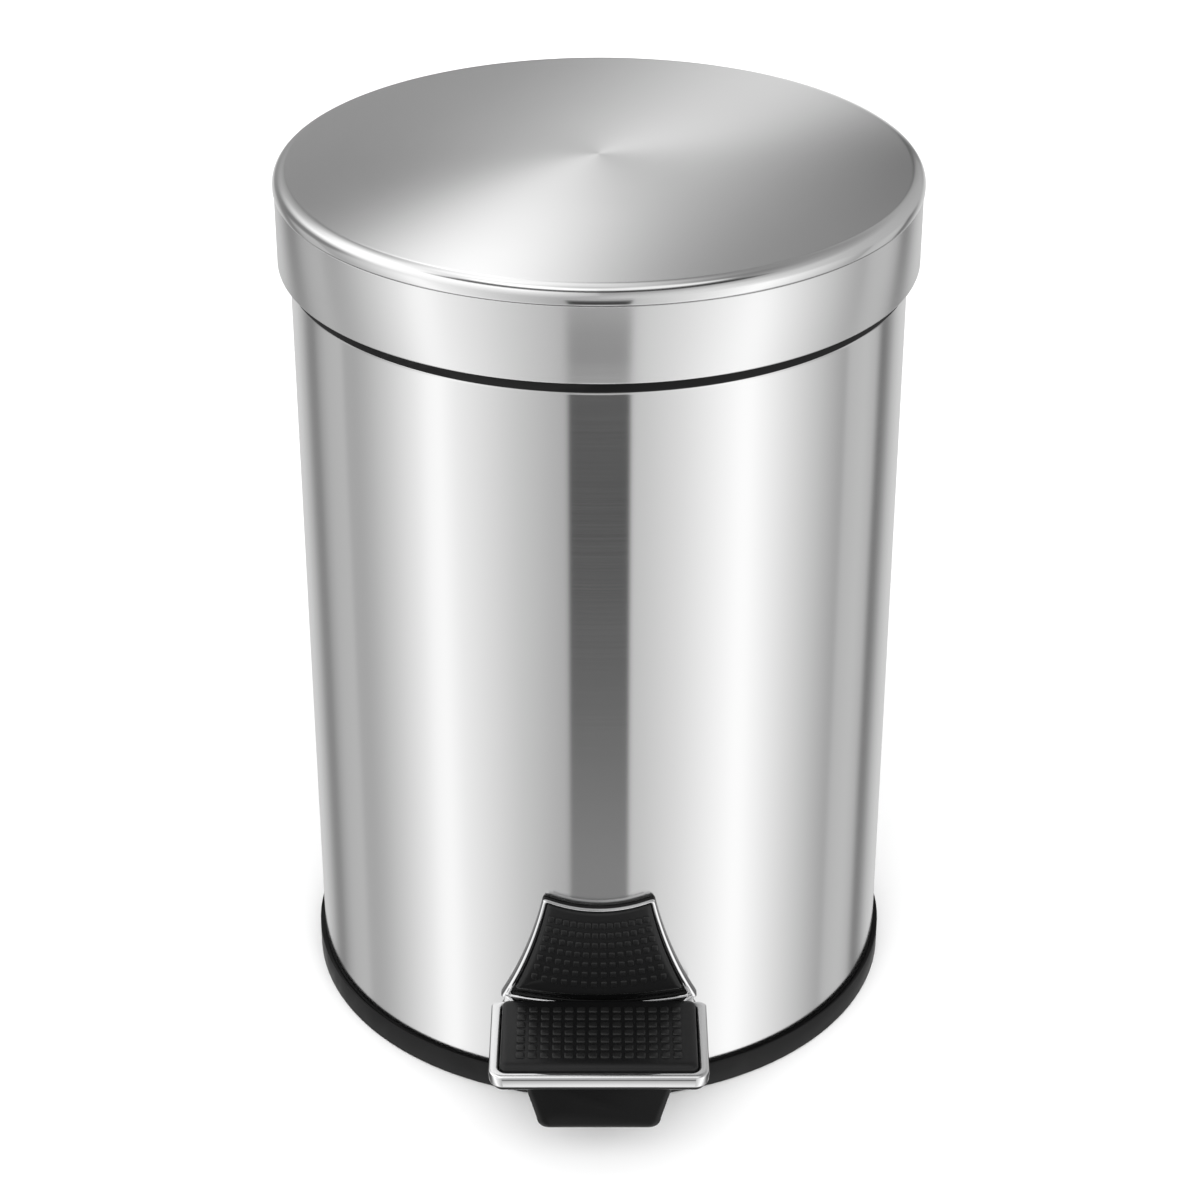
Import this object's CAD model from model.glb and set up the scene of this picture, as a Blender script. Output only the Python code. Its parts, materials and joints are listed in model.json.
"""Looks for the pedal trash can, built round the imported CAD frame.

+Z is up and the pedal is at -Y. Outlines and sections are worked out in mm, and new_piece brings
them to metres.
"""
import json
import math

import bmesh
import bpy
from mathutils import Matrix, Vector


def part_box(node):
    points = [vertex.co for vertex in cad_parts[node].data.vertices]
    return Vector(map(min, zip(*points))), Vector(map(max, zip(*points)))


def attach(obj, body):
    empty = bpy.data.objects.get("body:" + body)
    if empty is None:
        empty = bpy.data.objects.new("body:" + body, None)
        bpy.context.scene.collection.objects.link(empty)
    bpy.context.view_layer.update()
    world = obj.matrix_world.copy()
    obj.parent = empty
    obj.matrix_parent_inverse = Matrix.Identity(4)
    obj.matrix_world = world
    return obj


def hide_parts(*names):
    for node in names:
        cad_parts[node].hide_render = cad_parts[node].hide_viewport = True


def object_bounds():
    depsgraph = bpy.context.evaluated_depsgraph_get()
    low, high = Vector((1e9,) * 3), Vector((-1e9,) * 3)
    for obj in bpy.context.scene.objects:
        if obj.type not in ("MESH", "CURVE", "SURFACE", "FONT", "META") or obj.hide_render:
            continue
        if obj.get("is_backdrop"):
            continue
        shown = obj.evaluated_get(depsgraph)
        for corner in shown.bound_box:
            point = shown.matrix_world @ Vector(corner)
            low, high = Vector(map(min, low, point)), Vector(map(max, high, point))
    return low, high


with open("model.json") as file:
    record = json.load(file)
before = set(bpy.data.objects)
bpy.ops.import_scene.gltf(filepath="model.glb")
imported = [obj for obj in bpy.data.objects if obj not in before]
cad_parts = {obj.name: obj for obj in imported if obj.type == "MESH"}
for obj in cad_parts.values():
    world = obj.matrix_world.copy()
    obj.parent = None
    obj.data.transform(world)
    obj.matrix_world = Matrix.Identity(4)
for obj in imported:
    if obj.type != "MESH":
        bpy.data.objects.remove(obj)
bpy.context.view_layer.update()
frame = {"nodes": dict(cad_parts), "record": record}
nodes = frame["nodes"]
MM = 0.001
DEGREES = 180 / math.pi
scene = bpy.context.scene

# ------------------------------------------------------------------ camera
CAMERA_PITCH = 29.053                 # degrees below level
cam_data = bpy.data.cameras.new("camera")
cam_data.lens = 88.53
cam_data.sensor_width = 36
cam_data.shift_x = 0.0009
cam_data.clip_start = 0.05
camera = bpy.data.objects.new("camera", cam_data)
camera.location = (0, -1.1155, 0.7907)
camera.rotation_euler = (math.radians(90 - CAMERA_PITCH), 0, 0)
scene.collection.objects.link(camera)
scene.camera = camera
scene.view_settings.view_transform = "Standard"
scene.view_settings.look = "None"


# ------------------------------------------------------------------ node helpers
class Graph:
    """A small helper that adds nodes to one node tree."""

    def __init__(self, tree):
        self.tree = tree
        tree.nodes.clear()

    def add(self, kind, inputs=None, **props):
        node = self.tree.nodes.new(kind)
        for key, value in props.items():
            setattr(node, key, value)
        for key, value in (inputs or {}).items():
            self.put(node.inputs[key], value)
        return node

    def put(self, socket, value):
        if isinstance(value, bpy.types.NodeSocket):
            self.tree.links.new(value, socket)
        else:
            socket.default_value = value

    def math(self, op, a, b=0.0, clamp=False):
        node = self.add("ShaderNodeMath", operation=op, use_clamp=clamp)
        for socket, value in zip(node.inputs, (a, b)):
            self.put(socket, value)
        return node.outputs[0]

    def swing(self, noise, depth):
        """Noise from 0 to 1 as an offset of half the depth to either side."""
        return self.math("MULTIPLY", self.math("SUBTRACT", noise, .5), depth)

    def span(self, value, lo, hi, out_lo=0.0, out_hi=1.0, kind="SMOOTHSTEP"):
        node = self.add("ShaderNodeMapRange", interpolation_type=kind, clamp=True)
        for key, v in zip((0, 1, 2, 3, 4), (value, lo, hi, out_lo, out_hi)):
            self.put(node.inputs[key], v)
        return node.outputs[0]

    def mix(self, factor, a, b):
        node = self.add("ShaderNodeMix", data_type="FLOAT")
        self.put(node.inputs[0], factor)
        self.put(node.inputs[2], a)
        self.put(node.inputs[3], b)
        return node.outputs[0]

    def tint(self, factor, a, b):
        node = self.add("ShaderNodeMix", data_type="RGBA")
        self.put(node.inputs[0], factor)
        self.put(node.inputs[6], a)
        self.put(node.inputs[7], b)
        return node.outputs[2]

    def ramp(self, value, stops):
        """Grey levels from 0 to 1 at places from 0 to 1."""
        node = self.add("ShaderNodeValToRGB")
        self.put(node.inputs[0], value)
        bar = node.color_ramp
        bar.interpolation = "LINEAR"
        while len(bar.elements) > 1:
            bar.elements.remove(bar.elements[-1])
        for i, (place, level) in enumerate(stops):
            stop = bar.elements[0] if i == 0 else bar.elements.new(place)
            stop.position = place
            stop.color = (level, level, level, 1)
        return node.outputs[0]

    def curve(self, value, stops, most, least=0.0):
        """A ramp whose levels run from least to most."""
        reach = most - least
        out = self.math("MULTIPLY", self.ramp(value, [(p, (v - least) / reach) for p, v in stops]), reach)
        return self.math("ADD", out, least) if least else out


# ------------------------------------------------------------------ studio: world and floor
def half_turn(stops):
    """Levels given by angle away from the camera side, 0 to 180 degrees, as ramp stops."""
    return [(angle / 180, level / 2) for angle, level in stops]


STEEL = .74                           # how much light the brushed steel gives back
SKY_MOST = 1.5                        # the highest level in SKY, before the softbox is added
# light levels round the can, by angle from the camera side, for what the upright walls mirror
LEFT = [(0, .34), (12, .385), (30, .55), (54, .83), (61, .96), (66, .93), (72, .80), (84, .60),
        (96, .43), (102, .37), (109, .36), (111, .46), (122, .42), (128, .33), (133, .20),
        (138, .22), (146, .41), (155, .52), (180, .50)]
RIGHT = [(0, .44), (12, .50), (30, .68), (54, .98), (58, .98), (66, .86), (78, .68), (96, .44),
         (104, .33), (106, .45), (118, .49), (126, .43), (131, .15), (135, .18), (146, .45),
         (155, .52), (180, .50)]
# the dark strip in front of the can: its levels from low down up to eye level
STRIP = [(0, .95), (.25, .70), (.4, .46), (.54, .22), (.6, .06), (.68, .02), (.76, .14), (.9, .2),
         (1, .5)]
# the long softbox that runs up and over from behind: its level, half width in degrees and
# place in degrees, by height from the horizon (0) to overhead (1)
TUBE = [(0, .8), (.05, .9), (.11, .95), (.17, .82), (.22, .72), (.28, 1.45), (.33, 1.72),
        (.39, 1.5), (.45, 1.15), (.5, 1.1), (.56, 1.0), (.67, .85), (.78, .7), (1, .5)]
TUBE_WIDTH = [(0, 6.0), (.2, 3.6), (.38, 4.0), (.45, 5.5), (.55, 9.0), (.67, 14.0), (.85, 18.0),
              (1, 20.0)]
TUBE_PLACE = [(0, 10), (.06, 8.5), (.17, 4.5), (.24, .5), (.33, -5.5), (.5, -8), (.67, -12),
              (.83, -18), (1, -20)]
# the room above eye level: at each height in degrees, levels by angle off the softbox's line,
# left to right
SKY = [
    (4, [(-180, .5), (-150, .9), (-125, 1.2), (-105, .8), (-90, .3), (-60, .24), (-35, .34),
         (-12, .36), (-6, .15), (5, .06), (8, .12), (13, .40), (22, .5), (50, .56), (75, .6),
         (95, .75), (120, 1.1), (150, .8), (180, .5)]),
    (25, [(-180, .5), (-150, 1.0), (-120, 1.3), (-62, 1.4), (-45, .95), (-32, .6), (-12, .38),
          (-6, .15), (5, .06), (8, .12), (13, .36), (22, .46), (50, .54), (80, .6), (100, .75),
          (140, .9), (180, .5)]),
    (45, [(-180, .42), (-140, 1.4), (-60, 1.5), (-42, 1.25), (-25, .8), (-12, .5), (0, .25),
          (15, .28), (60, .4), (100, .5), (140, .6), (180, .42)]),
    (65, [(-180, .38), (-120, 1.0), (-50, 1.1), (-25, 1.0), (-8, .6), (10, .3), (60, .25),
          (120, .35), (180, .38)]),
    (88, [(-180, .34), (180, .34)]),
]


def studio_world():
    """What glossy surfaces mirror is drawn by direction; everything else sees an even white room."""
    world = bpy.data.worlds.new("studio")
    scene.world = world
    world.use_nodes = True
    g = Graph(world.node_tree)
    place = g.add("ShaderNodeTexCoord").outputs["Generated"]
    x, y, z = g.add("ShaderNodeSeparateXYZ", {0: place}).outputs
    azimuth = g.math("MULTIPLY", g.math("ARCTAN2", x, g.math("MULTIPLY", y, -1.0)), DEGREES)
    height = g.math("MULTIPLY", g.math("ARCSINE", z), DEGREES)
    # below the horizon, levels by angle from the camera side
    turn = g.math("DIVIDE", g.math("ABSOLUTE", azimuth), 180.0)
    side = g.span(azimuth, -1.0, 1.0)
    low = g.mix(side, g.ramp(turn, half_turn(LEFT)), g.ramp(turn, half_turn(RIGHT)))
    low = g.math("MULTIPLY", low, 2 / STEEL)
    # the dark strip in front, lighter towards the floor
    strip = g.math("MULTIPLY", g.span(azimuth, -11.8, -10.2), g.span(azimuth, 10.6, 12.0, 1.0, 0.0))
    fall = g.span(height, -60.0, -10.0, 0.0, 1.0, "LINEAR")
    low = g.mix(strip, low, g.ramp(fall, STRIP))
    # above the horizon, measured off the softbox's line
    along = g.span(height, 0.0, 90.0, 0.0, 1.0, "LINEAR")
    from_back = g.math("MULTIPLY", g.math("ARCTAN2", x, y), DEGREES)
    turned = g.math("SUBTRACT", from_back, g.curve(along, TUBE_PLACE, 30.0, -30.0))
    across = g.span(turned, -180.0, 180.0, 0.0, 1.0, "LINEAR")
    high, last = None, 0
    for at, stops in SKY:
        row = g.ramp(across, [((d + 180) / 360, v / SKY_MOST) for d, v in stops])
        high = row if high is None else g.mix(g.span(height, float(last), float(at)), high, row)
        last = at
    high = g.math("MULTIPLY", high, SKY_MOST)
    # the softbox itself, bright along its line and fading out over its half width
    width = g.curve(along, TUBE_WIDTH, 20.0)
    off_line = g.math("MULTIPLY", turned, g.math("COSINE", g.math("RADIANS", height)))
    reach = g.math("DIVIDE", off_line, width)
    beam = g.math("EXPONENT", g.math("MULTIPLY", g.math("MULTIPLY", reach, reach), -1.0))
    beam = g.math("MULTIPLY", beam, g.span(y, -.05, .2))
    high = g.math("ADD", high, g.math("MULTIPLY", beam, g.curve(along, TUBE, 3.0)))
    # in front: a dark gap high up, with a bright edge above it
    gap = g.math("MULTIPLY", g.span(height, 46.0, 51.0), g.span(height, 59.0, 63.0, 1.0, 0.0))
    gap = g.math("MULTIPLY", gap, g.span(y, 0.0, -.25))
    high = g.math("MULTIPLY", high, g.math("SUBTRACT", 1.0, g.math("MULTIPLY", gap, .9)))
    edge = g.math("MULTIPLY", g.span(height, 63.0, 68.0), g.span(height, 78.0, 88.0, 1.0, 0.5))
    edge = g.math("MULTIPLY", edge, g.span(y, .14, -.06))
    high = g.math("ADD", high, g.math("MULTIPLY", edge, .8))
    # in front the wall pattern carries on up past eye level
    meet = g.span(y, -.2, .35, 8.0, -2.0)
    level = g.mix(g.span(g.math("SUBTRACT", height, meet), -10.0, 0.0), low, high)
    # rays that light matt surfaces, and the view past the floor, see the white room
    glossy = g.add("ShaderNodeLightPath").outputs["Is Glossy Ray"]
    even = g.math("ADD", g.span(y, -.95, -.2, 3.1, 0.0), .94)
    room = g.add("ShaderNodeBackground", {"Color": (1, 1, 1, 1), "Strength": even})
    cards = g.add("ShaderNodeBackground", {"Color": level, "Strength": 1.0})
    both = g.add("ShaderNodeMixShader", {0: glossy, 1: room.outputs[0], 2: cards.outputs[0]})
    g.add("ShaderNodeOutputWorld", {"Surface": both.outputs[0]})


def studio_floor():
    mesh = bpy.data.meshes.new("floor")
    s = 6.0                           # half the floor's width
    mesh.from_pydata([(-s, -s, 0), (s, -s, 0), (s, s, 0), (-s, s, 0)], [], [(0, 1, 2, 3)])
    floor = bpy.data.objects.new("floor", mesh)
    scene.collection.objects.link(floor)
    material = bpy.data.materials.new("floor_white")
    material.use_nodes = True
    g = Graph(material.node_tree)
    shader = g.add("ShaderNodeBsdfPrincipled", {"Base Color": (.93, .93, .93, 1), "Roughness": .9})
    shader.inputs["Specular IOR Level"].default_value = 0.0
    g.add("ShaderNodeOutputMaterial", {"Surface": shader.outputs[0]})
    mesh.materials.append(material)
    floor.visible_glossy = False
    floor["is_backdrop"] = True


studio_world()
studio_floor()


# ------------------------------------------------------------------ materials
def new_material(name):
    material = bpy.data.materials.new(name)
    material.use_nodes = True
    g = Graph(material.node_tree)
    shader = g.add("ShaderNodeBsdfPrincipled")
    g.add("ShaderNodeOutputMaterial", {"Surface": shader.outputs[0]})
    return material, g, shader


def polar(g):
    """Angle round the body's axis, distance from it, and height, from object coordinates."""
    place = g.add("ShaderNodeTexCoord").outputs["Object"]
    x, y, z = g.add("ShaderNodeSeparateXYZ", {0: place}).outputs
    angle = g.math("ARCTAN2", y, x)
    radius = g.math("SQRT", g.math("ADD", g.math("MULTIPLY", x, x), g.math("MULTIPLY", y, y)))
    return place, angle, radius, z


def brushed_steel(name, level, roughness, lines, strength, directional=.95, rim=None):
    """Satin steel brushed round the can's axis.

    lines is 'wall' for lines spaced up the wall or 'disc' for circles. rim is the radius where a
    rolled edge begins and that edge's roughness.
    """
    material, g, s = new_material(name)
    place, angle, radius, z = polar(g)
    across = z if lines == "wall" else radius
    grain_at = g.add("ShaderNodeCombineXYZ", {0: g.math("MULTIPLY", angle, .9),
                                              1: g.math("MULTIPLY", across, 2600.0)})
    grain = g.add("ShaderNodeTexNoise", {"Vector": grain_at.outputs[0], "Scale": 1.0,
                                         "Detail": 3.0, "Roughness": .6})
    fine = g.add("ShaderNodeTexNoise", {"Vector": place, "Scale": 900.0, "Detail": 2.0})
    cloud = g.add("ShaderNodeTexNoise", {"Vector": place, "Scale": 14.0, "Detail": 3.0,
                                         "Roughness": .55})
    grain, fine, cloud = (n.outputs[0] for n in (grain, fine, cloud))
    tone = g.math("ADD", g.swing(grain, .05), g.swing(cloud, .03))
    dark, light = [level * .96] * 3, [level * 1.04] * 3
    colour = g.tint(g.math("ADD", tone, .5, clamp=True), (*dark, 1), (*light, 1))
    g.put(s.inputs["Base Color"], colour)
    if rim:
        # the rolled edge comes out of the press smoother than the flat
        roughness = g.mix(g.span(radius, rim[0] - .0018, rim[0]), roughness, rim[1])
    rough = g.math("ADD", roughness, g.swing(grain, .05))
    g.put(s.inputs["Roughness"], g.math("ADD", rough, g.swing(cloud, .02)))
    s.inputs["Metallic"].default_value = 1.0
    s.inputs["Anisotropic"].default_value = directional
    s.inputs["Anisotropic Rotation"].default_value = .25
    tangent = g.add("ShaderNodeTangent", direction_type="RADIAL", axis="Z")
    g.put(s.inputs["Tangent"], tangent.outputs[0])
    relief = g.math("ADD", grain, g.math("MULTIPLY", fine, .5))
    bump = g.add("ShaderNodeBump", {"Strength": strength, "Distance": .00002, "Height": relief})
    g.put(s.inputs["Normal"], bump.outputs[0])
    return material


def plain_steel(name, level, roughness, scale=180.0, streak=(1, 1, 6), grain_depth=.15, flank=0.0):
    """Rolled or plated steel; flank darkens the faces that look away from the middle."""
    material, g, s = new_material(name)
    place = g.add("ShaderNodeTexCoord").outputs["Object"]
    stretch = g.add("ShaderNodeMapping", {"Vector": place, "Scale": streak})
    grain = g.add("ShaderNodeTexNoise", {"Vector": stretch.outputs[0], "Scale": scale,
                                         "Detail": 4.0, "Roughness": .6})
    cloud = g.add("ShaderNodeTexNoise", {"Vector": place, "Scale": 35.0, "Detail": 3.0})
    dark, light = (level * .9, level * .9, level * .91, 1), (level, level, level, 1)
    colour = g.tint(cloud.outputs[0], dark, light)
    if flank:
        x = g.add("ShaderNodeSeparateXYZ", {0: place}).outputs[0]
        normal = g.add("ShaderNodeTexCoord").outputs["Normal"]
        normal_x = g.add("ShaderNodeSeparateXYZ", {0: normal}).outputs[0]
        outward = g.span(g.math("MULTIPLY", normal_x, g.math("SIGN", x)), .55, .85, 0.0, flank)
        colour = g.tint(outward, colour, (.03, .03, .032, 1))
    g.put(s.inputs["Base Color"], colour)
    g.put(s.inputs["Roughness"], g.math("ADD", roughness, g.swing(grain.outputs[0], .12)))
    s.inputs["Metallic"].default_value = 1.0
    bump = g.add("ShaderNodeBump", {"Strength": grain_depth, "Distance": .00005,
                                    "Height": grain.outputs[0]})
    g.put(s.inputs["Normal"], bump.outputs[0])
    return material


def moulded(name, level, roughness, scale, depth, wear=.008, sheen=.25):
    """Plastic or rubber with a fine moulded texture, slightly worn on its edges."""
    material, g, s = new_material(name)
    place = g.add("ShaderNodeTexCoord").outputs["Object"]
    grain = g.add("ShaderNodeTexNoise", {"Vector": place, "Scale": scale, "Detail": 3.0,
                                         "Roughness": .6})
    cells = g.add("ShaderNodeTexVoronoi", {"Vector": place, "Scale": scale * .8})
    cloud = g.add("ShaderNodeTexNoise", {"Vector": place, "Scale": 24.0, "Detail": 3.0,
                                         "Roughness": .6})
    edge = g.span(g.add("ShaderNodeNewGeometry").outputs["Pointiness"], .5, .58)
    dark = (level * .85, level * .85, level * .88, 1)
    light = (level * 1.15, level * 1.15, level * 1.18, 1)
    base = g.tint(cloud.outputs[0], dark, light)
    base = g.tint(g.math("MULTIPLY", edge, .5), base, (level + wear, level + wear, level + wear, 1))
    g.put(s.inputs["Base Color"], base)
    g.put(s.inputs["Roughness"], g.math("ADD", roughness, g.swing(cloud.outputs[0], .14)))
    s.inputs["Specular IOR Level"].default_value = sheen
    height = g.math("ADD", grain.outputs[0], g.math("MULTIPLY", cells.outputs["Distance"], .6))
    bump = g.add("ShaderNodeBump", {"Strength": .35, "Distance": depth, "Height": height})
    g.put(s.inputs["Normal"], bump.outputs[0])
    return material


MATERIALS = {
    "brushed_body": brushed_steel("satin_body_steel", STEEL, .12, "wall", .06),
    "brushed_lid": brushed_steel("satin_lid_steel", STEEL, .18, "disc", .06, .65, (.1262, .10)),
    "black_plastic": moulded("black_plastic", .0035, .40, 1500.0, .00003, .006, .14),
    "toe_plastic": moulded("toe_plastic", .0012, .14, 1500.0, .00001, .003, .16),
    "bucket_plastic": moulded("bucket_plastic", .030, .48, 900.0, .00005),
    "pedal_rubber": moulded("pedal_rubber", .0045, .33, 1300.0, .00003, .008, .26),
    "foot_rubber": moulded("foot_rubber", .018, .62, 1100.0, .00006),
    "chrome_trim": plain_steel("chrome_trim", .88, .09, 120.0, (1, 1, 1), .04, .9),
    "pressed_steel": plain_steel("pressed_steel", .58, .34),
    "bright_steel": plain_steel("bright_steel", .74, .20),
    "spring_clip": plain_steel("spring_clip", .12, .38),
}
BAND_STEEL = brushed_steel("satin_band_steel", STEEL, .22, "wall", .06)

for part in frame["record"]["subparts"]:
    if part["node"] in nodes:
        mesh = nodes[part["node"]].data
        mesh.materials.clear()
        mesh.materials.append(MATERIALS[part["material_slot"]])


# ------------------------------------------------------------------ mesh helpers
def new_piece(name, verts, faces, body, material, replaces, sharp=50.0):
    """A mesh in mm that rides a body and takes the place of nodes; sharp is in degrees."""
    mesh = bpy.data.meshes.new(name)
    mesh.from_pydata([Vector(v) * MM for v in verts], [], faces)
    mesh.validate()
    o = bpy.data.objects.new(name, mesh)
    scene.collection.objects.link(o)
    mesh.materials.append(material)
    bm = bmesh.new()
    bm.from_mesh(mesh)
    bmesh.ops.remove_doubles(bm, verts=bm.verts, dist=1e-7)
    bmesh.ops.recalc_face_normals(bm, faces=bm.faces)
    for f in bm.faces:
        f.smooth = True
    for e in bm.edges:
        if len(e.link_faces) == 2 and e.calc_face_angle(0) > math.radians(sharp):
            e.smooth = False
    bm.to_mesh(mesh)
    bm.free()
    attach(o, body)
    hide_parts(*replaces)


def arc(cx, cz, r, a0, a1, n):
    """Points on an arc in a section, angles in degrees."""
    return [(cx + r * math.cos(math.radians(a0 + (a1 - a0) * i / n)),
             cz + r * math.sin(math.radians(a0 + (a1 - a0) * i / n))) for i in range(n + 1)]


def revolve(section, steps=320):
    """A closed section of (radius, z) points turned round Z. Points on the axis are welded."""
    verts, faces = [], []
    n = len(section)
    for k in range(steps):
        a = 2 * math.pi * k / steps
        verts += [(r * math.cos(a), r * math.sin(a), z) for r, z in section]
    for k in range(steps):
        m = (k + 1) % steps
        for i in range(n):
            j = (i + 1) % n
            if section[i][0] < 1e-6 and section[j][0] < 1e-6:
                continue
            quad = [k * n + i, m * n + i, m * n + j, k * n + j]
            if section[i][0] < 1e-6:
                quad = [k * n + i, m * n + j, k * n + j]
            elif section[j][0] < 1e-6:
                quad = [k * n + i, m * n + i, k * n + j]
            faces.append(quad)
    return verts, faces


def node_box(name):
    lo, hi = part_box(name)
    return [v / MM for v in lo], [v / MM for v in hi]


# ------------------------------------------------------------------ lid
lo, hi = node_box("lid_cap")
cap_r, cap_top = hi[0], hi[2]
blo, bhi = node_box("lid_band")
band_r, band_z0, band_z1 = bhi[0], blo[2], bhi[2]
seam = .4                             # the shut line between the hoop and the cap
rim_top = band_z1 + seam + 7.2
roll_r = 5.5                          # the cap's rolled edge
dome_r = cap_r - roll_r
inner_r = band_r - 1.7                # inside the cap's skirt


def dome(r):
    """The cap's height at a radius."""
    return rim_top + (cap_top - rim_top) * (1 - (r / dome_r) ** 2)


section = [(0, rim_top - .9)] + arc(dome_r, rim_top - roll_r, roll_r - .9, 66, 45, 3)
section += [(inner_r, rim_top - roll_r + 2.9), (inner_r, band_z1 - 3.5),
            (band_r - .95, band_z1 - 3.5), (band_r - .9, band_z1 + .35), (cap_r - .8, band_z1 + seam)]
section += arc(cap_r - .55, band_z1 + .95, .55, -90, 0, 4)
section += arc(dome_r, rim_top - roll_r, roll_r, 0, 87.6, 26)
section += [(r, dome(r)) for r in (124, 121, 116, 108, 96, 80, 60, 40, 20, 8, 2, 0)]
v, f = revolve(section, 384)
new_piece("lid_cap_shell", v, f, "lid", MATERIALS["brushed_lid"], ["lid_cap"])

section = arc(band_r - .35, band_z1 - .35, .35, 0, 90, 4)
section += [(band_r - .8, band_z1), (band_r - .8, band_z0 + 1.5), (band_r - 1.5, band_z0 + 1.4),
            (band_r - 1.6, band_z0 + .3)]
section += arc(band_r - .75, band_z0 + .75, .75, -120, 0, 6)
v, f = revolve(section, 384)
new_piece("lid_band_hoop", v, f, "lid", BAND_STEEL, ["lid_band"])

# ------------------------------------------------------------------ body wall
slo, shi = node_box("body_shell")
body_r = shi[0] - .3                  # the node's widest point is its rolled top edge
top = shi[2]
sheet = .8                            # the wall's thickness
window_z0, window_z1 = 19, 46         # the lever's window in the front
notch_z = 303.5                       # the foot of the hinge's notch at the back
window = math.degrees(math.asin(14 / body_r))
notch = math.degrees(math.asin(27 / body_r))


def wall_grid():
    """The body's wall with its lever window in front and the hinge notch behind."""
    angles = sorted(set([round(i * 1.2, 4) for i in range(300)]
                        + [270 - window, 270 + window, 90 - notch, 90 + notch]))
    # heights, and how far the outer face stands out there: the top edge is rolled
    rows = [(z, 0) for z in (3.5, window_z0, window_z1, 120, 210, 280, notch_z, top - 1.2, top - .62)]
    rows += [(top - .42, .07), (top - .22, .1), (top - .07, .04), (top, -.06)]
    n, m = len(angles), len(rows)

    def is_open(i, j):
        a = (angles[i] + (angles[(i + 1) % n] + (360 if i == n - 1 else 0))) / 2 % 360
        z = (rows[j][0] + rows[j + 1][0]) / 2
        in_window = abs(a - 270) < window and window_z0 < z < window_z1
        return in_window or (abs(a - 90) < notch and z > notch_z)

    verts = []
    for r_off, r_base in ((1, body_r), (0, body_r - sheet)):
        for a in angles:
            c, s = math.cos(math.radians(a)), math.sin(math.radians(a))
            verts += [((r_base + r_off * d) * c, (r_base + r_off * d) * s, z) for z, d in rows]
    faces = []
    # each cell's neighbours, with the two corners of the edge it shares with them
    sides = ((-1, 0, (0, 0), (0, 1)), (1, 0, (1, 1), (1, 0)),
             (0, -1, (1, 0), (0, 0)), (0, 1, (0, 1), (1, 1)))

    def vid(layer, i, j):
        return layer * n * m + (i % n) * m + j

    for i in range(n):
        for j in range(m - 1):
            if is_open(i, j):
                continue
            faces.append([vid(0, i, j), vid(0, i + 1, j), vid(0, i + 1, j + 1), vid(0, i, j + 1)])
            faces.append([vid(1, i, j), vid(1, i, j + 1), vid(1, i + 1, j + 1), vid(1, i + 1, j)])
            for di, dj, p, q in sides:
                jj = j + dj
                if (0 <= jj < m - 1) and not is_open((i + di) % n, jj):
                    continue
                a0, a1 = vid(0, i + p[0], j + p[1]), vid(0, i + q[0], j + q[1])
                b0, b1 = vid(1, i + p[0], j + p[1]), vid(1, i + q[0], j + q[1])
                faces.append([a0, a1, b1, b0])
    return verts, faces


v, f = wall_grid()
new_piece("body_wall", v, f, "can", MATERIALS["brushed_body"], ["body_shell"])

# ------------------------------------------------------------------ pedal
def run(a, b, n):
    """n points from a towards b, leaving b out."""
    return [(a[0] + (b[0] - a[0]) * i / n, a[1] + (b[1] - a[1]) * i / n) for i in range(n)]


def bend(cx, cy, r, a0, a1, n):
    """An arc without its last point, which the next stretch begins with."""
    return arc(cx, cy, r, a0, a1, n)[:-1]


def rounded(w, d, r, cy, n=6, side=8):
    """A rounded rectangle in plan, anticlockwise from the left end of its front edge."""
    x, y = w / 2 - r, d / 2 - r
    pts = run((-x, cy - y - r), (x, cy - y - r), side) + bend(x, cy - y, r, -90, 0, n)
    pts += run((x + r, cy - y), (x + r, cy + y), side) + bend(x, cy + y, r, 0, 90, n)
    pts += run((x, cy + y + r), (-x, cy + y + r), side) + bend(-x, cy + y, r, 90, 180, n)
    pts += run((-x - r, cy + y), (-x - r, cy - y), side) + bend(-x, cy - y, r, 180, 270, n)
    return pts


def skin(loops, closed=False, capped=False):
    """Quads between loops of equal length; closed joins the last loop to the first."""
    verts = [p for loop in loops for p in loop]
    n = len(loops[0])
    faces = []
    for k in range(len(loops) if closed else len(loops) - 1):
        m = (k + 1) % len(loops)
        faces += [[k * n + i, k * n + (i + 1) % n, m * n + (i + 1) % n, m * n + i] for i in range(n)]
    if capped:
        faces.append(list(range(n)))
        faces.append(list(range((len(loops) - 1) * n, len(loops) * n)))
    return verts, faces


def join(parts):
    """Several meshes as one."""
    verts, faces = [], []
    for v, f in parts:
        base = len(verts)
        verts += v
        faces += [[i + base for i in q] for q in f]
    return verts, faces


# the bright frame round the tread, and the wedge that runs back from it to the riser
flo, fhi = node_box("tread_frame")
plo, phi = node_box("tread_pad")
fx, fy0, fz0, fz1 = fhi[0], flo[1], flo[2], fhi[2]
fy1 = fy0 + 51                        # the back of the frame
side_w, front_w, back_w = 4.2, 4, 2.6
out_r, rear_r, in_r = 6, 2.5, 3       # corners: the front ones, the rear ones and the opening's
spur_x = 39.4                         # half the wedge's width
back_r = body_r + 4.2                 # the wedge's back lies round the body
spur_y = -math.sqrt(back_r ** 2 - spur_x ** 2)
wedge = math.degrees(math.asin(spur_x / back_r))
# the corners' centres, outside and in
ox, oy0, rx, oy1 = fx - out_r, fy0 + out_r, fx - rear_r, fy1 - rear_r
ix, iy0, iy1 = fx - side_w - in_r, fy0 + front_w + in_r, fy1 - back_w - in_r
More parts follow.
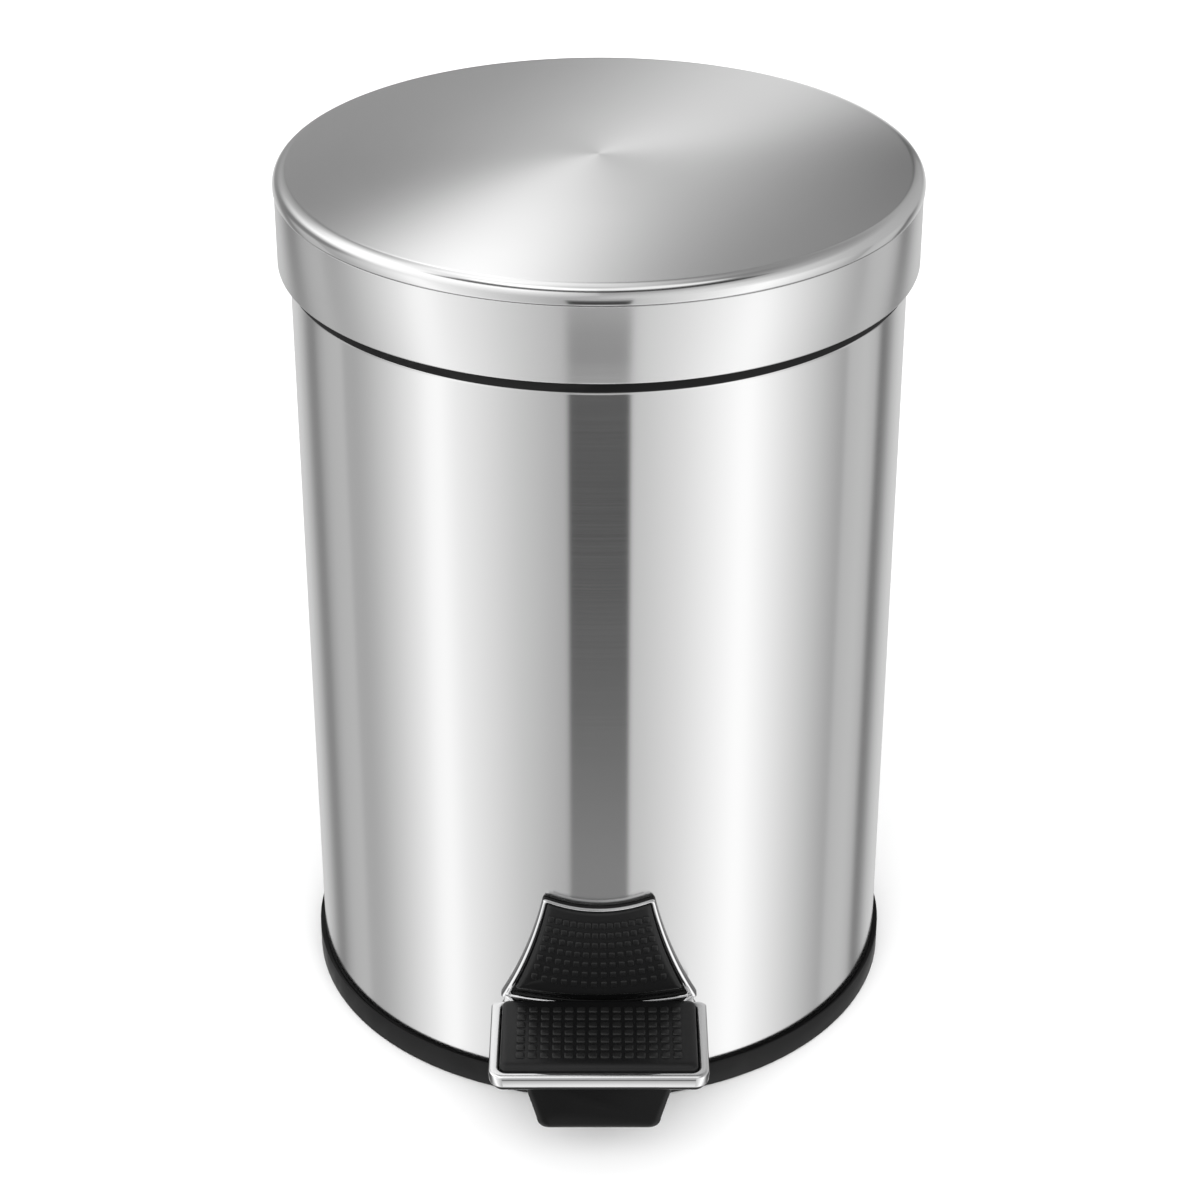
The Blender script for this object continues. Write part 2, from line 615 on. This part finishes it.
# both loops have the same number of points, so that each has its partner across the frame
outer = run((-ox, fy0), (ox, fy0), 12) + bend(ox, oy0, out_r, -90, 0, 10)
outer += run((fx, oy0), (fx, oy1), 6) + bend(rx, oy1, rear_r, 0, 90, 10)
outer += run((rx, fy1), (spur_x, fy1), 1) + run((spur_x, fy1), (spur_x, spur_y), 2)
outer += bend(0, 0, back_r, -90 + wedge, -90 - wedge, 24)
outer += run((-spur_x, spur_y), (-spur_x, fy1), 2) + run((-spur_x, fy1), (-rx, fy1), 1)
outer += bend(-rx, oy1, rear_r, 90, 180, 10) + run((-fx, oy1), (-fx, oy0), 6)
outer += bend(-ox, oy0, out_r, 180, 270, 10)
inner = run((-ix, iy0 - in_r), (ix, iy0 - in_r), 12) + bend(ix, iy0, in_r, -90, 0, 10)
inner += run((ix + in_r, iy0), (ix + in_r, iy1), 6) + bend(ix, iy1, in_r, 0, 90, 10)
inner += run((ix, iy1 + in_r), (ix - 1.2, iy1 + in_r), 3)
inner += run((ix - 1.2, iy1 + in_r), (1.2 - ix, iy1 + in_r), 24)
inner += run((1.2 - ix, iy1 + in_r), (-ix, iy1 + in_r), 3) + bend(-ix, iy1, in_r, 90, 180, 10)
inner += run((-ix - in_r, iy1), (-ix - in_r, iy0), 6) + bend(-ix, iy0, in_r, 180, 270, 10)


def between(side, d, z):
    """A loop d mm in from the outer edge, or d mm out from the opening."""
    loop = []
    for (x0, y0), (x1, y1) in zip(outer, inner):
        t = d / max(math.hypot(x1 - x0, y1 - y0), 3.0)
        t = t if side == "outer" else 1 - t
        loop.append((x0 + (x1 - x0) * t, y0 + (y1 - y0) * t, z))
    return loop


PROFILE = [("outer", d, fz0 + up) for d, up in
           ((1.5, 0), (.95, .1), (.6, .35), (.42, .8), (.24, 2.4), (.07, 4.0))]
PROFILE += [("outer", d, fz1 - down) for d, down in
            ((.12, 1.0), (.3, .55), (.47, .38), (.85, .19), (1.3, .05), (1.9, 0))]
PROFILE += [("inner", d, fz1 - down) for d, down in ((1.05, 0), (.55, .15), (.18, .5), (0, 1.0))]
PROFILE += [("inner", 0, fz0)]
v, f = skin([between(*p) for p in PROFILE], closed=True)
new_piece("tread_trim", v, f, "pedal", MATERIALS["chrome_trim"], ["tread_frame"], 70)

# the riser's outline seen from the front: its half widths at the foot and the top, how far the
# top edge sags between its corners and how far the sides draw in
bot_w, top_w, sag, waist = 39.6, 22.8, 3.9, 1.6
riser_z0, corner_z = node_box("riser_frame")[0][2], node_box("riser_frame")[1][2]
foot_z = 53                           # where the foot's width is measured
chord_z = corner_z - foot_z
top_r = (top_w ** 2 + sag ** 2) / 2 / sag


def riser_loop(foot, head, z0, soft, rim):
    """The riser's outline, drawn in at its foot, its head and its top edge.

    z0 is its lower edge and soft the size of its corners.
    """
    low_x, high_x = bot_w - foot, top_w - head
    chord = math.hypot(low_x - high_x, chord_z)
    side_r = (chord ** 2 / 4 + waist ** 2) / 2 / waist
    side_x0 = (low_x + high_x) / 2 + chord_z / chord * (side_r - waist)
    side_z0 = (corner_z + foot_z) / 2 + (low_x - high_x) / chord * (side_r - waist)

    def side_x(z):
        return side_x0 - math.sqrt(side_r ** 2 - (z - side_z0) ** 2)

    def top_z(x):
        return corner_z - sag + top_r - rim - math.sqrt(top_r ** 2 - x * x)

    def corner(a, b, c):
        return [tuple((1 - t) ** 2 * p + 2 * t * (1 - t) * q + t * t * r for p, q, r in zip(a, b, c))
                for t in (0, .25, .5, .75)]

    z = corner_z                      # settles on where the side meets the sagging top edge
    for _ in range(20):
        x = side_x(z)
        z = top_z(x)
    low, high_z = z0 + soft, z - soft
    half = corner((side_x(z0) - soft, z0), (side_x(z0), z0), (side_x(low), low))
    half += [(side_x(low + (high_z - low) * i / 18), low + (high_z - low) * i / 18) for i in range(18)]
    half += corner((side_x(high_z), high_z), (x, z), (x - soft, top_z(x - soft)))
    reach = x - soft
    top_run = [(reach * (1 - i / 12), top_z(reach * (1 - i / 12))) for i in range(25)]
    mirror = [(-a, b) for a, b in reversed(half)]
    start = side_x(z0) - soft
    return half + top_run + mirror + [(start * (2 * i / 13 - 1), z0) for i in range(1, 13)]


def on_drum(loop, r):
    """A loop seen from the front, wrapped on a drum round the body."""
    return [(x, -math.sqrt(r * r - x * x), z) for x, z in loop]


# the bead's section: how far in it has come, of its whole width, and how far out it stands
RISER = [(.1, 2.2), (0, 2.9), (.08, 3.35), (.3, 3.72), (.7, 3.92), (1.2, 4.0), (1.75, 3.98),
         (2.25, 3.8), (2.6, 3.45), (2.8, 2.9), (2.8, 1.6)]
bead = RISER[-1][0]
bead_foot, bead_head, bead_sill, bead_rim = 3.1, 2.05, 2.3, .3
loops = []
for i, d in RISER:
    loop = riser_loop(i * bead_foot / bead, i * bead_head / bead, riser_z0 + i * bead_sill / bead,
                      1.7 - .1 * i, i * bead_rim / bead)
    loops.append(on_drum(loop, body_r + d))
v, f = skin(loops, closed=True)
new_piece("riser_trim", v, f, "pedal", MATERIALS["chrome_trim"], ["riser_frame"], 70)


def stud(w, d, r, at):
    """One raised stud; at() places a point given across, up and out."""
    loops = []
    for inset, h in ((0, -.35), (0, .2), (.08, .38), (.28, .53), (.6, .6)):
        flat = rounded(w - 2 * inset, d - 2 * inset, max(r - inset * .7, .25), 0, 3, 1)
        loops.append([at(x, y, h) for x, y in flat])
    return skin(loops, capped=True)


# the tread's rubber: a pillow with 14 by 7 studs; a pillow's edge is given as how far in and up
COLUMNS, ROWS = 14, 7
mid_column, mid_row = (COLUMNS - 1) / 2, (ROWS - 1) / 2
pad_w, pad_d = 79.8, 45.2
pad_y = (fy0 + front_w + fy1 - back_w) / 2 + .8
pad_z0 = plo[2]
stud_h = .6
pad_top = phi[2] - stud_h
PILLOW = [(0, -4.9), (0, -1.75), (.1, -1.2), (.35, -.75), (.8, -.38), (1.4, -.14), (2.1, -.03), (2.8, 0)]
loops = []
for i, dz in PILLOW:
    flat = rounded(pad_w - 2 * i, pad_d - 2.4 * i, max(2.6 - i * .6, .8), pad_y + .2 * i)
    loops.append([(x, y, pad_top + dz if dz > -4.5 else pad_z0 + .1) for x, y in flat])
parts = [skin(loops, capped=True)]
for c in range(COLUMNS):
    for r in range(ROWS):
        cx, cy = (c - mid_column) * 4.88, -151.6 + (r - mid_row) * 5.03
        parts.append(stud(3.6, 3.6, .8, lambda x, y, h: (cx + x, cy + y, pad_top + h)))
v, f = join(parts)
new_piece("tread_rubber", v, f, "pedal", MATERIALS["pedal_rubber"], ["tread_pad"])

# the riser's rubber, bent round the body, its stud rows dipping in the middle
drum = body_r + 5.6
mid_z = 76                            # the face closes in on this height
PILLOW = [(0, 2.1), (0, 4.1), (.1, 4.65), (.35, 5.05), (.8, 5.35), (1.4, 5.52), (2.1, 5.58), (2.8, 5.6)]


def pad_loop(i):
    """The rubber's outline, i mm in from its widest."""
    return riser_loop(3.4 + i, 2.15 + i, fz1 + 4.4 + 1.2 * i, 1.0, .5 + .3 * i)


def shrunk(loop, k):
    return [(x * k, mid_z + (z - mid_z) * k) for x, z in loop]


loops = [on_drum(pad_loop(i), body_r + d) for i, d in PILLOW]
loops += [on_drum(shrunk(pad_loop(2.8), k), drum) for k in (.85, .7, .55, .4, .25, .1)]
parts = [skin(loops, capped=True)]
for c in range(COLUMNS):
    for r in range(ROWS):
        u = (c - mid_column) / mid_column
        a = math.asin(u * (19.3 + (1 - r / (ROWS - 1)) * 7.2) / drum)
        zc = 62.5 + r * 4.88 + 2.4 * u * u
        parts.append(stud(2.6, 3.0, .6, lambda x, y, h: (
            (drum + h) * math.sin(a) + x * math.cos(a),
            -(drum + h) * math.cos(a) + x * math.sin(a), zc + y)))
v, f = join(parts)
new_piece("riser_rubber", v, f, "pedal", MATERIALS["pedal_rubber"], ["riser_pad"])


# the black core: a tray under the frame, the toe below it and the walls behind the riser
toe_y, toe_z = -172, node_box("pedal_core")[0][2]
toe_top = 46
toe_r = 4.5                           # the toe's lower corners


def toe_loop(inset, y):
    """The toe seen from the front: narrow below, flaring out where it meets the tray."""
    wide, low, z = 31.2 - inset, 24.9 - inset, toe_z + inset
    side = []
    for i in range(16):
        t = 1 - i / 16
        flare = 5 * max(0, (t - .7) / .3) ** 2
        side.append((low + .4 + (wide - low - .4) * t + flare, z + toe_r + (toe_top - z - toe_r) * t))
    floor_x = low + .4 - toe_r
    pts = side + bend(floor_x, z + toe_r, toe_r, 0, -90, 8)
    pts += run((floor_x, z), (-floor_x, z), 10) + bend(-floor_x, z + toe_r, toe_r, -90, -180, 8)
    pts += [(-low - .4, z + toe_r)] + [(-px, pz) for px, pz in reversed(side[1:])]
    pts += run((-side[0][0], toe_top), (side[0][0], toe_top), 10)
    return [(px, y, pz) for px, pz in pts]


def drum_block(half_x, r0, r1, z):
    """A slice at one height between two drums round the body."""
    a0, a1 = (math.degrees(math.asin(half_x / r)) for r in (r1, r0))
    slice_loop = arc(0, 0, r1, -90 - a0, -90 + a0, 24) + arc(0, 0, r0, -90 + a1, -90 - a1, 24)
    return [(px, py, z) for px, py in slice_loop]


TOE = ((0, 35.9), (0, 2.5), (.2, 1.6), (.7, .9), (1.5, .4), (2.6, 0))
TRAY = ((3.6, 2.8), (2.7, 2.45), (2.0, 1.7), (1.6, .9), (1.5, .05))
parts = [skin([toe_loop(i, toe_y + d) for i, d in TOE], capped=True)]
parts.append(skin([between("outer", d, fz0 - down) for d, down in TRAY], capped=True))
parts.append(skin([drum_block(spur_x - 1, body_r + .45, body_r + 3.7, z)
                   for z in (fz0 - 2.8, riser_z0 - .25)], capped=True))
# one wall down to the tray within the frame's opening, and one as wide as the frame above it
for edge, depth in ((riser_loop(3.1, 1.6, fz0 - 2.5, .6, .4), 2),
                    (riser_loop(0, 0, riser_z0, 1.7, 0), 2.25)):
    wall = [on_drum(shrunk(edge, k), body_r + .45) for k in (.1, .4, .7, 1)]
    wall += [on_drum(shrunk(edge, k), body_r + depth) for k in (1, .7, .4, .1)]
    parts.append(skin(wall, capped=True))
v, f = join(parts)
new_piece("pedal_shell", v, f, "pedal", MATERIALS["toe_plastic"], ["pedal_core"])


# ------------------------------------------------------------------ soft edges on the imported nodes
def soften(name, width, segments):
    """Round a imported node's corners by width mm; its mesh is left as it is."""
    o = nodes[name]
    for p in o.data.polygons:
        p.use_smooth = True
    weld = o.modifiers.new("weld", "WELD")
    weld.merge_threshold = 1e-6
    bevel = o.modifiers.new("soft_edges", "BEVEL")
    bevel.width = width * MM
    bevel.segments = segments
    bevel.limit_method = "ANGLE"
    bevel.angle_limit = math.radians(34)
    bevel.use_clamp_overlap = True
    bevel.harden_normals = True


soften("rim_collar", .5, 3)
soften("base_moulding", .25, 2)
soften("hinge_cover", .8, 3)

# ------------------------------------------------------------------ hand over
lo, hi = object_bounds()
